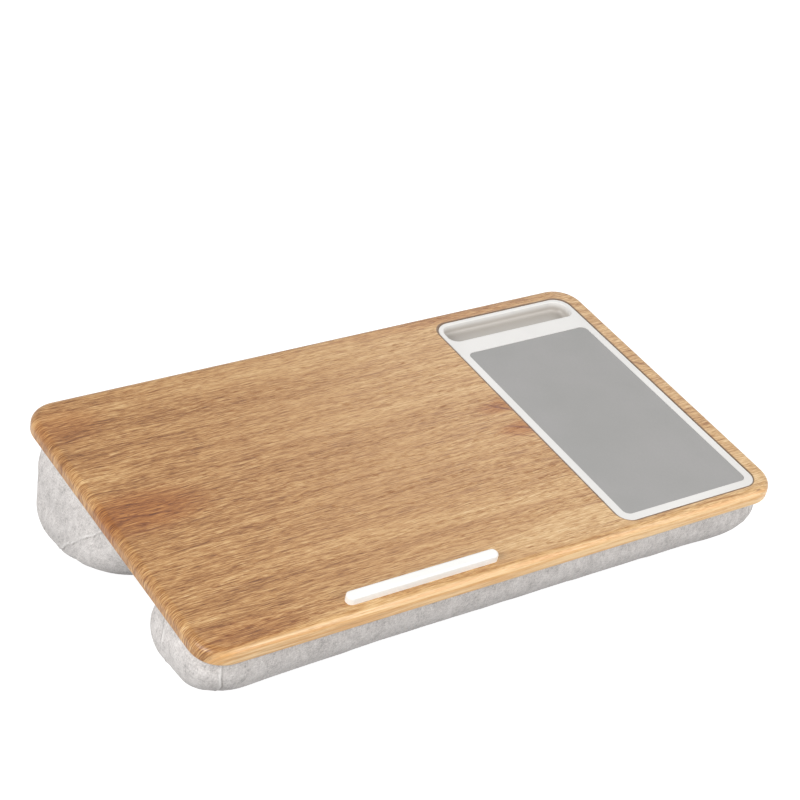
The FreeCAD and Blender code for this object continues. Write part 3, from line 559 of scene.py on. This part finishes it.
def woven_mesh(name, patches):
    """Closed mesh of patches: their quads, points that coincide made one, and the weave as a UV map."""
    places, charts, quads, start = [], [], [], 0
    for points, chart in patches:
        rows, columns = points.shape[:2]
        index = np.arange(rows * columns).reshape(rows, columns) + start
        corners = [index[:-1, :-1], index[:-1, 1:], index[1:, 1:], index[1:, :-1]]
        quads.append(np.stack(corners, -1).reshape(-1, 4))
        places.append(points.reshape(-1, 3))
        charts.append(chart.reshape(-1, 2))
        start += rows * columns
    places, charts, quads = np.concatenate(places), np.concatenate(charts), np.concatenate(quads)
    keys, first, index = np.unique(np.round(places, 4), axis=0, return_index=True, return_inverse=True)
    mesh = bpy.data.meshes.new(name)
    mesh.from_pydata(board_to_row(places[first]).tolist(), [], index.reshape(-1)[quads].tolist())
    chart_layer = mesh.uv_layers.new(name="weave")
    chart_layer.data.foreach_set("uv", (charts[quads.reshape(-1)] * MILLIMETRE).reshape(-1))
    mesh.polygons.foreach_set("use_smooth", [True] * len(mesh.polygons))
    mesh.update()
    piece = bpy.data.objects.new(name, mesh)
    bpy.context.scene.collection.objects.link(piece)
    shell = bmesh.new()
    shell.from_mesh(mesh)
    bmesh.ops.recalc_face_normals(shell, faces=shell.faces)
    shell.to_mesh(mesh)
    shell.free()
    return piece


def read_points(mesh):
    """A mesh's points as an array."""
    flat = np.zeros(len(mesh.vertices) * 3)
    mesh.vertices.foreach_get("co", flat)
    return flat.reshape(-1, 3)


def seam_lines(cushion):
    """The two seams of each end gusset: beside the valley corner, and on the outer corner.

    Each lies in a plane that stands square on the cover. It is given as a point, the unit vector across
    the seam towards the gusset, and the least x and y, counted outwards, at which it is sewn.
    """
    lines = []
    sine, cosine = math.sin(SEAM_TURN), math.cos(SEAM_TURN)
    for side in (-1, 1):
        outward = cushion["sign"]
        rows = []
        for share in SEAM_SHARES:
            half, outer, valley, outer_corner, valley_corner = (
                float(size) for size in outline_sizes(cushion, share, 0.0))
            places = ((side * half, outward * (valley + valley_corner + cushion["seam_inset"])),
                      (side * (half - outer_corner + outer_corner * sine),
                       outward * (outer - outer_corner + outer_corner * cosine)))
            rows.append([np.array([x, y, level_height(share, y)]) for x, y in places])
        least_x = cushion["half"] - SEAM_REACH
        flat, corner = zip(*rows)
        lines.append((flat, (side, 0, 0), (0, outward, 0), least_x, -BOARD_DEPTH))
        lines.append((corner, (side * sine, outward * cosine, 0), (side * cosine, -outward * sine, 0),
                      least_x, cushion["outer"] - SEAM_REACH))
    planes = []
    for (high, low), square, gusset, least_x, least_y in lines:
        across = np.cross(low - high, square)
        across *= np.sign(across @ np.array(gusset)) / np.linalg.norm(across)
        planes.append((high, across, np.sign(high[0]), least_x, least_y))
    return planes


def beside_seam(cushion, line, board):
    """Distance across one seam in mm, more than 0 on the gusset, and FAR where the seam isn't sewn."""
    point, across, side, least_x, least_y = line
    sewn = (side * board[:, 0] > least_x) & (cushion["sign"] * board[:, 1] > least_y)
    return np.where(sewn, (board - point) @ across, FAR)


def averaged(mesh, field, rounds):
    """A field on a mesh's points, each round drawn halfway to the mean of its neighbours'."""
    ends = np.zeros(len(mesh.edges) * 2, dtype=int)
    mesh.edges.foreach_get("vertices", ends)
    first, second = ends.reshape(-1, 2).T
    number = len(field)
    near = np.concatenate([first, second])
    far = np.concatenate([second, first])
    count = np.bincount(near, minlength=number)[:, None]
    for _ in range(rounds):
        total = np.stack([np.bincount(near, field[far, axis], number) for axis in range(3)], axis=1)
        field = (field + total / count) / 2
    return field


def inflate(piece, cushion):
    """Blow the shell up as cloth, with its top held, and take the wrinkles and puffs from the result.

    Only what the cloth does within a few centimetres is kept: its own average over the neighbourhood
    is taken off, so that the cushion keeps its outline. What is left is capped.
    """
    scene = bpy.context.scene
    rest = read_points(piece.data)
    board = row_to_board(rest)
    held = piece.vertex_groups.new(name="held")
    held.add(np.flatnonzero(board[:, 2] > -BOARD_THICKNESS - TOP_ROLL * 0.5).tolist(), 1.0, "REPLACE")
    gathered = piece.vertex_groups.new(name="gathered")
    away = np.min([np.abs(beside_seam(cushion, line, board)) for line in seam_lines(cushion)], axis=0)
    gathered.add(np.flatnonzero(away < GATHERED).tolist(), 1.0, "REPLACE")
    cloth = piece.modifiers.new("cloth", "CLOTH")
    cloth.settings.quality = 6
    cloth.settings.use_pressure = True
    cloth.settings.uniform_pressure_force = CLOTH_PRESSURE
    cloth.settings.effector_weights.gravity = 0.0
    cloth.settings.vertex_group_mass = "held"
    cloth.settings.vertex_group_shrink = "gathered"
    cloth.settings.shrink_min = -0.012
    cloth.settings.shrink_max = 0.05
    cloth.settings.bending_stiffness = 0.3
    cloth.collision_settings.use_collision = False
    cloth.point_cache.frame_start = 1
    cloth.point_cache.frame_end = CLOTH_FRAMES
    for moment in range(1, CLOTH_FRAMES + 1):
        scene.frame_set(moment)
    shaped = piece.evaluated_get(bpy.context.evaluated_depsgraph_get())
    moved = read_points(shaped.data) - rest
    piece.modifiers.remove(cloth)
    scene.frame_set(1)
    detail = moved - averaged(piece.data, moved, AVERAGE_ROUNDS)
    length = np.linalg.norm(detail, axis=1, keepdims=True)
    cap = WRINKLE_CAP * MILLIMETRE
    detail *= np.tanh(length / cap) * cap / np.maximum(length, 1e-9)
    piece.data.vertices.foreach_set("co", (rest + detail).reshape(-1))
    piece.data.update()


def cut_seams(piece, cushion):
    """Cut lines of edges along each seam and beside it, in the faces near the seam alone."""
    shell = bmesh.new()
    shell.from_mesh(piece.data)
    turn = np.array(Matrix.Rotation(TILT, 3, "X"))
    for line in seam_lines(cushion):
        for offset in SEAM_CUTS:
            board = row_to_board(np.array([vertex.co for vertex in shell.verts]))
            near = np.abs(beside_seam(cushion, line, board) - offset) < NEAR_SEAM
            shell.verts.ensure_lookup_table()
            faces = {face for index in np.flatnonzero(near) for face in shell.verts[index].link_faces}
            local = list({part for face in faces for part in (*face.verts, *face.edges, face)})
            bmesh.ops.bisect_plane(shell, geom=local, dist=1e-6,
                                   plane_co=board_to_row(line[0] + line[1] * offset), plane_no=turn @ line[1])
            shell.verts.index_update()
    shell.to_mesh(piece.data)
    shell.free()


def sew(piece, cushion):
    """Shape the cloth at both seams of each gusset: a low ridge with a fine lip and a groove on it.

    The ridge falls off within 3 mm on the gusset and as an exponential on the side panel, which turns
    away from the seam there. The lip and the groove are bells 0.7 mm to either side of the seam, and
    short gathers, a sine wave along it, fade out at 10 mm. The seam attribute is 1 on the lip and -1 in
    the groove.
    """
    points = read_points(piece.data)
    board = row_to_board(points)
    outward = np.zeros(len(points) * 3)
    piece.data.vertices.foreach_get("normal", outward)
    outward = outward.reshape(-1, 3)
    seam = np.zeros(len(points))
    along = board[:, 1] * 0.7 - board[:, 2] * 0.7
    uneven = 0.6 + 0.4 * np.sin(along / 3.1 + 2.0 * np.sin(along / 7.7))
    for line in seam_lines(cushion):
        away = beside_seam(cushion, line, board) + 0.5 * np.sin(along / 6.3) + 0.3 * np.sin(along / 2.4)
        gather = np.sin(along * (2 * math.pi / 7.5) + 1.3 * np.sin(along / 11)) * np.exp(-(away / 5.0) ** 2)
        ridge = np.where(away < 0, np.exp(np.minimum(away, 0) / 8.0), np.exp(-(away / 3.0) ** 2))
        lip = np.exp(-((away - 0.7) / 0.7) ** 2) * uneven
        groove = np.exp(-((away + 0.7) / 0.7) ** 2) * uneven
        lift = RIDGE_HEIGHT * ridge + GATHER_HEIGHT * gather + LIP_HEIGHT * lip - GROOVE_DEPTH * groove
        below_board = np.clip((-board[:, 2] - BOARD_THICKNESS) / 4, 0, 1)
        points += outward * (lift * below_board * MILLIMETRE)[:, None]
        seam += lip - groove
    layer = piece.data.attributes.new("seam", "FLOAT", "POINT")
    layer.data.foreach_set("value", seam.astype(np.float32))
    piece.data.vertices.foreach_set("co", points.reshape(-1))
    piece.data.update()


def settle(piece):
    """Keep the cushion below the board and press it flat where it stands."""
    board = row_to_board(read_points(piece.data))
    board[:, 2] = np.minimum(board[:, 2], -BOARD_THICKNESS - TOP_CLEARANCE)
    points = board_to_row(board)
    points[:, 2] = np.maximum(points[:, 2], 0.0)
    piece.data.vertices.foreach_set("co", points.reshape(-1))
    piece.data.update()


def refine(piece):
    """One level of subdivision, applied."""
    smooth = piece.modifiers.new("smooth", "SUBSURF")
    smooth.levels = smooth.render_levels = 1
    shaped = piece.evaluated_get(bpy.context.evaluated_depsgraph_get())
    mesh = bpy.data.meshes.new_from_object(shaped)
    piece.modifiers.remove(smooth)
    piece.data = mesh


# Camera of the main view, and the lamps: name, place, aim, size and power
CAMERA_AT = Vector((-0.88232, -1.23302, 0.87408))
CAMERA_AIM = Vector((0.07687, 0.12393, 0.06))
CAMERA_ROLL = math.radians(3.497)
SENSOR_WIDTH = 36.0
FRAME_PIXELS = 800
FOCAL_PIXELS = 2135.77
MIDDLE_PIXEL = (398.25, 398.80)
LAMPS = (
    ("key_left", (-1.95, -0.5, 1.15), (0, 0, 0.05), 1.2, 40.0),
    ("fill_right", (1.2, -2.1, 0.95), (0.1, 0, 0.05), 1.6, 40.0),
    ("sheen_right", (1.3, 0.95, 1.5), (0.1, 0, 0.08), 0.9, 4.0),
)
WORLD_LIGHT = 0.33
FLOOR_TONE = 0.38
FLOOR_LIFT = 0.9
FLOOR_EDGE = 4.0
FLOOR_LEVEL = -0.0003


def place_camera():
    """Camera with the main view's axis, roll and focal length, and the axis off the frame's middle."""
    data = bpy.data.cameras.new("camera")
    camera = bpy.data.objects.new("camera", data)
    bpy.context.scene.collection.objects.link(camera)
    bpy.context.scene.camera = camera
    data.sensor_width = SENSOR_WIDTH
    data.lens = FOCAL_PIXELS / FRAME_PIXELS * SENSOR_WIDTH
    data.shift_x = (FRAME_PIXELS / 2 - MIDDLE_PIXEL[0]) / FRAME_PIXELS
    data.shift_y = (MIDDLE_PIXEL[1] - FRAME_PIXELS / 2) / FRAME_PIXELS
    look = (CAMERA_AIM - CAMERA_AT).to_track_quat("-Z", "Y").to_matrix().to_4x4()
    camera.matrix_world = Matrix.Translation(CAMERA_AT) @ look @ Matrix.Rotation(CAMERA_ROLL, 4, "Z")


def area_lamp(name, place, aim, size, power):
    """Soft square lamp that faces a point."""
    data = bpy.data.lights.new(name, "AREA")
    data.shape = "SQUARE"
    data.size = size
    data.energy = power
    lamp = bpy.data.objects.new(name, data)
    bpy.context.scene.collection.objects.link(lamp)
    lamp.location = place
    lamp.rotation_euler = (Vector(aim) - Vector(place)).to_track_quat("-Z", "Y").to_euler()


def seen_white(tree):
    """1 for what the camera sees, also in a reflection or through glass, and 0 for light that falls."""
    rays = tree.nodes.new("ShaderNodeLightPath")
    seen = Wire(tree, rays.outputs["Is Camera Ray"])
    for ray in ("Is Glossy Ray", "Is Transmission Ray"):
        seen = seen.maths("MAXIMUM", seen, Wire(tree, rays.outputs[ray]))
    return seen


def light_studio():
    """Even world light, soft lamps, and a floor that the camera sees as white."""
    scene = bpy.context.scene
    scene.view_settings.view_transform = "Standard"
    world = bpy.data.worlds.new("studio")
    scene.world = world
    world.use_nodes = True
    background = world.node_tree.nodes["Background"]
    background.inputs["Color"].default_value = (1.0, 1.0, 1.0, 1.0)
    strength = WORLD_LIGHT + seen_white(world.node_tree) * (1.0 - WORLD_LIGHT)
    world.node_tree.links.new(strength.socket, background.inputs["Strength"])
    for lamp in LAMPS:
        area_lamp(*lamp)

    mesh = bpy.data.meshes.new("studio_floor")
    corners = ((-1, -1), (1, -1), (1, 1), (-1, 1))
    mesh.from_pydata([(x * FLOOR_EDGE, y * FLOOR_EDGE, FLOOR_LEVEL) for x, y in corners], [], [(0, 1, 2, 3)])
    floor = bpy.data.objects.new("studio_floor", mesh)
    scene.collection.objects.link(floor)
    material, shader, wire = new_material("studio_floor", roughness=0.9, emission_strength=1.0)
    shader.inputs["Base Color"].default_value = (FLOOR_TONE, FLOOR_TONE, FLOOR_TONE, 1.0)
    feed(shader, "Emission Color", mix(seen_white(wire.tree), (0.0, 0.0, 0.0, 1.0),
                                       (FLOOR_LIFT, FLOOR_LIFT, FLOOR_LIFT, 1.0)))
    mesh.materials.append(material)


place_camera()
light_studio()

materials = {
    "woodgrain": oak_film(),
    "fibreboard": pressed_fibre("raw_fibreboard", srgb(196, 168, 132), srgb(160, 128, 92), 1.0),
    "backing": pressed_fibre("balancing_sheet", srgb(226, 220, 208), srgb(212, 204, 190), 2.6),
    "hardboard": pressed_fibre("raw_hardboard", srgb(140, 106, 76), srgb(98, 70, 46), 1.2),
    "white_plastic": moulded_white("moulded_white", 3.7, srgb(234, 232, 229), srgb(227, 225, 222)),
    "pad_grey": mouse_surface(),
    "steel": plated_steel(),
    "cover_fabric": heather_weave(),
}
# Painted light: a lighter copy of the moulded white for the ledge, whose front faces the lamps.
lit_ledge_white = moulded_white("lit_ledge_white", 5.1, srgb(250, 249, 246), srgb(245, 244, 240))
for subpart in frame["record"]["subparts"]:
    node = frame["nodes"][subpart["node"]]
    node.data.materials.clear()
    node.data.materials.append(lit_ledge_white if subpart["node"] == "device_ledge" else
                               materials.get(subpart["material_slot"], materials["cover_fabric"]))

for end, cushion in CUSHIONS.items():
    piece = woven_mesh(end + "_cushion", cushion_patches(cushion, COVER_INSET))
    inflate(piece, cushion)
    cut_seams(piece, cushion)
    refine(piece)
    sew(piece, cushion)
    settle(piece)
    piece.data.materials.clear()
    piece.data.materials.append(materials["cover_fabric"])
    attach(piece, "root")
    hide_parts(end + "_wrap_cover", end + "_left_gusset", end + "_right_gusset", end + "_bead_fill")
